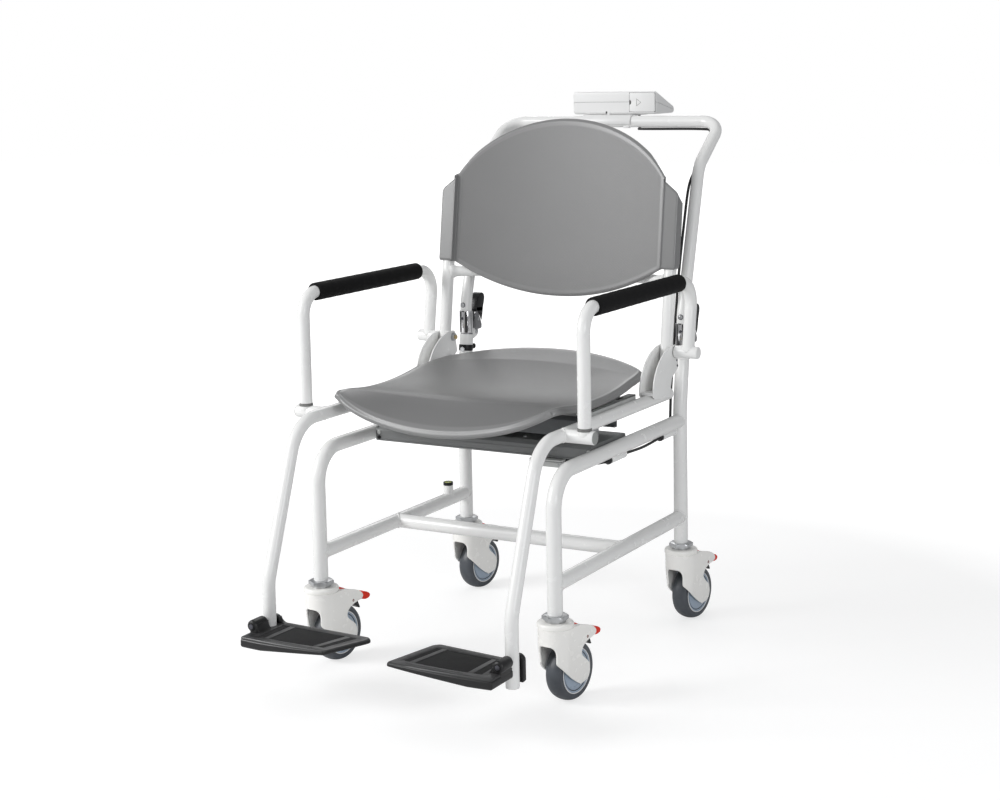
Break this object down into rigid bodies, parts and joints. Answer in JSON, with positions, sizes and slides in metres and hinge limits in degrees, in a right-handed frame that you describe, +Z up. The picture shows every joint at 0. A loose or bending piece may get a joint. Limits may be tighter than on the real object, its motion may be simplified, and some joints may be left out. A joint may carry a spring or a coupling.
{
  "type": "digital chair scale",
  "caption": "Wheeled chair scale with moulded seat and back, lift-up arms, flip-up footrests, push handle and weight indicator.",
  "frame": {"origin": "centre of the bounding box, on the floor under the casters", "axes": "+Z up, -Y the way the chair faces, +X the sitter's left"},
  "size_m": [0.585, 1.017, 0.9766],
  "materials": {
    "frame_paint": "white powder coat, satin",
    "channel_paint": "grey powder coat",
    "shell_plastic": "mid grey, fine texture",
    "caster_plastic": "ivory white",
    "tread_rubber": "dark tread",
    "pedal_plastic": "red",
    "foot_plastic": "black, fine texture",
    "grip_foam": "black closed-cell foam",
    "chromed_steel": "polished",
    "cell_aluminium": "milled",
    "lever_plastic": "black",
    "cable_sheath": "black",
    "case_white": "white, satin",
    "screen_glass": "grey-green display",
    "key_plastic": "grey"
  },
  "bodies": {
    "base": {"front_leg_left": "frame_paint", "rear_leg_left": "frame_paint", "lower_rail_left": "frame_paint", "front_leg_right": "frame_paint", "rear_leg_right": "frame_paint", "lower_rail_right": "frame_paint", "cross_bar": "frame_paint", "load_beam": "channel_paint", "load_cell_left": "cell_aluminium", "load_cell_right": "cell_aluminium", "junction_box": "channel_paint", "bubble_level": "lever_plastic", "frame_cable": "cable_sheath", "seat_rail_left": "frame_paint", "seat_carrier_left": "channel_paint", "back_bracket_left": "frame_paint", "back_upright_left": "frame_paint", "seat_rail_right": "frame_paint", "seat_carrier_right": "channel_paint", "back_bracket_right": "frame_paint", "back_upright_right": "frame_paint", "seat_beam": "channel_paint", "back_cross_tube": "frame_paint", "seat_shell": "shell_plastic", "back_shell": "shell_plastic"},
    "handle": {"push_handle": "frame_paint", "fold_sleeve_left": "chromed_steel", "fold_sleeve_right": "chromed_steel", "handle_cable": "cable_sheath", "indicator_bracket": "case_white", "indicator_back": "case_white", "indicator_front": "case_white", "display_window": "screen_glass"},
    "arm_left": {"arm_tube_left": "frame_paint", "arm_pad_left": "grip_foam"},
    "footrest_left": {"footplate_left": "foot_plastic"},
    "arm_right": {"arm_tube_right": "frame_paint", "arm_pad_right": "grip_foam"},
    "footrest_right": {"footplate_right": "foot_plastic"},
    "lever_left": {"release_lever_left": "lever_plastic"},
    "lever_right": {"release_lever_right": "lever_plastic"},
    "key_1": {"key_1": "key_plastic"},
    "key_2": {"key_2": "key_plastic"},
    "key_3": {"key_3": "key_plastic"},
    "key_4": {"key_4": "key_plastic"},
    "key_5": {"key_5": "key_plastic"},
    "battery_door": {"battery_door": "case_white"},
    "swivel_front_left": {"caster_front_left": "caster_plastic"},
    "wheel_front_left": {"wheel_front_left": "tread_rubber"},
    "brake_front_left": {"brake_front_left": "pedal_plastic"},
    "swivel_front_right": {"caster_front_right": "caster_plastic"},
    "wheel_front_right": {"wheel_front_right": "tread_rubber"},
    "brake_front_right": {"brake_front_right": "pedal_plastic"},
    "swivel_rear_left": {"caster_rear_left": "caster_plastic"},
    "wheel_rear_left": {"wheel_rear_left": "tread_rubber"},
    "brake_rear_left": {"brake_rear_left": "pedal_plastic"},
    "swivel_rear_right": {"caster_rear_right": "caster_plastic"},
    "wheel_rear_right": {"wheel_rear_right": "tread_rubber"},
    "brake_rear_right": {"brake_rear_right": "pedal_plastic"}
  },
  "joints": [
    {"name": "arm_left_lift", "type": "hinge", "parent": "base", "child": "arm_left", "pos_m": [0.272, 0.15752, 0.517], "axis": [-1, 0, 0], "range_deg": [0, 95]},
    {"name": "footplate_left_flip", "type": "hinge", "parent": "base", "child": "footrest_left", "pos_m": [0.232, -0.42948, 0.125], "axis": [0, 1, 0], "range_deg": [0, 90]},
    {"name": "arm_right_lift", "type": "hinge", "parent": "base", "child": "arm_right", "pos_m": [-0.272, 0.15752, 0.517], "axis": [-1, 0, 0], "range_deg": [0, 95]},
    {"name": "footplate_right_flip", "type": "hinge", "parent": "base", "child": "footrest_right", "pos_m": [-0.232, -0.42948, 0.125], "axis": [0, -1, 0], "range_deg": [0, 90]},
    {"name": "handle_fold", "type": "hinge", "parent": "base", "child": "handle", "pos_m": [0, 0.25752, 0.514], "axis": [-1, 0, 0], "range_deg": [0, 100]},
    {"name": "lever_left_press", "type": "hinge", "parent": "handle", "child": "lever_left", "pos_m": [0.23, 0.26052, 0.538], "axis": [-1, 0, 0], "range_deg": [0, 9], "stiffness_Nm_per_rad": 0.6},
    {"name": "lever_right_press", "type": "hinge", "parent": "handle", "child": "lever_right", "pos_m": [-0.23, 0.26052, 0.538], "axis": [-1, 0, 0], "range_deg": [0, 9], "stiffness_Nm_per_rad": 0.6},
    {"name": "key_1_press", "type": "slide", "parent": "handle", "child": "key_1", "axis": [0, -0.3583, -0.9336], "range_m": [0, 0.0005], "stiffness_N_per_m": 900},
    {"name": "key_2_press", "type": "slide", "parent": "handle", "child": "key_2", "axis": [0, -0.3583, -0.9336], "range_m": [0, 0.0005], "stiffness_N_per_m": 900},
    {"name": "key_3_press", "type": "slide", "parent": "handle", "child": "key_3", "axis": [0, -0.3583, -0.9336], "range_m": [0, 0.0005], "stiffness_N_per_m": 900},
    {"name": "key_4_press", "type": "slide", "parent": "handle", "child": "key_4", "axis": [0, -0.3583, -0.9336], "range_m": [0, 0.0005], "stiffness_N_per_m": 900},
    {"name": "key_5_press", "type": "slide", "parent": "handle", "child": "key_5", "axis": [0, -0.3583, -0.9336], "range_m": [0, 0.0005], "stiffness_N_per_m": 900},
    {"name": "battery_door_slide", "type": "slide", "parent": "handle", "child": "battery_door", "axis": [1, 0, 0], "range_m": [0, 0.045]},
    {"name": "swivel_front_left_turn", "type": "hinge", "parent": "base", "child": "swivel_front_left", "pos_m": [0.23, -0.28248, 0.125], "axis": [0, 0, 1], "continuous": true},
    {"name": "wheel_front_left_roll", "type": "hinge", "parent": "swivel_front_left", "child": "wheel_front_left", "pos_m": [0.23515, -0.24584, 0.05], "axis": [0.9903, -0.1392, 0], "continuous": true},
    {"name": "brake_front_left_press", "type": "hinge", "parent": "swivel_front_left", "child": "brake_front_left", "pos_m": [0.23645, -0.2366, 0.10973], "axis": [-0.9903, 0.1392, 0], "range_deg": [0, 8]},
    {"name": "swivel_front_right_turn", "type": "hinge", "parent": "base", "child": "swivel_front_right", "pos_m": [-0.23, -0.28248, 0.125], "axis": [0, 0, 1], "continuous": true},
    {"name": "wheel_front_right_roll", "type": "hinge", "parent": "swivel_front_right", "child": "wheel_front_right", "pos_m": [-0.22485, -0.24584, 0.05], "axis": [0.9903, -0.1392, 0], "continuous": true},
    {"name": "brake_front_right_press", "type": "hinge", "parent": "swivel_front_right", "child": "brake_front_right", "pos_m": [-0.22355, -0.2366, 0.10973], "axis": [-0.9903, 0.1392, 0], "range_deg": [0, 8]},
    {"name": "swivel_rear_left_turn", "type": "hinge", "parent": "base", "child": "swivel_rear_left", "pos_m": [0.23, 0.21452, 0.125], "axis": [0, 0, 1], "continuous": true},
    {"name": "wheel_rear_left_roll", "type": "hinge", "parent": "swivel_rear_left", "child": "wheel_rear_left", "pos_m": [0.23515, 0.25116, 0.05], "axis": [0.9903, -0.1392, 0], "continuous": true},
    {"name": "brake_rear_left_press", "type": "hinge", "parent": "swivel_rear_left", "child": "brake_rear_left", "pos_m": [0.23645, 0.2604, 0.10973], "axis": [-0.9903, 0.1392, 0], "range_deg": [0, 8]},
    {"name": "swivel_rear_right_turn", "type": "hinge", "parent": "base", "child": "swivel_rear_right", "pos_m": [-0.23, 0.21452, 0.125], "axis": [0, 0, 1], "continuous": true},
    {"name": "wheel_rear_right_roll", "type": "hinge", "parent": "swivel_rear_right", "child": "wheel_rear_right", "pos_m": [-0.22485, 0.25116, 0.05], "axis": [0.9903, -0.1392, 0], "continuous": true},
    {"name": "brake_rear_right_press", "type": "hinge", "parent": "swivel_rear_right", "child": "brake_rear_right", "pos_m": [-0.22355, 0.2604, 0.10973], "axis": [-0.9903, 0.1392, 0], "range_deg": [0, 8]}
  ]
}
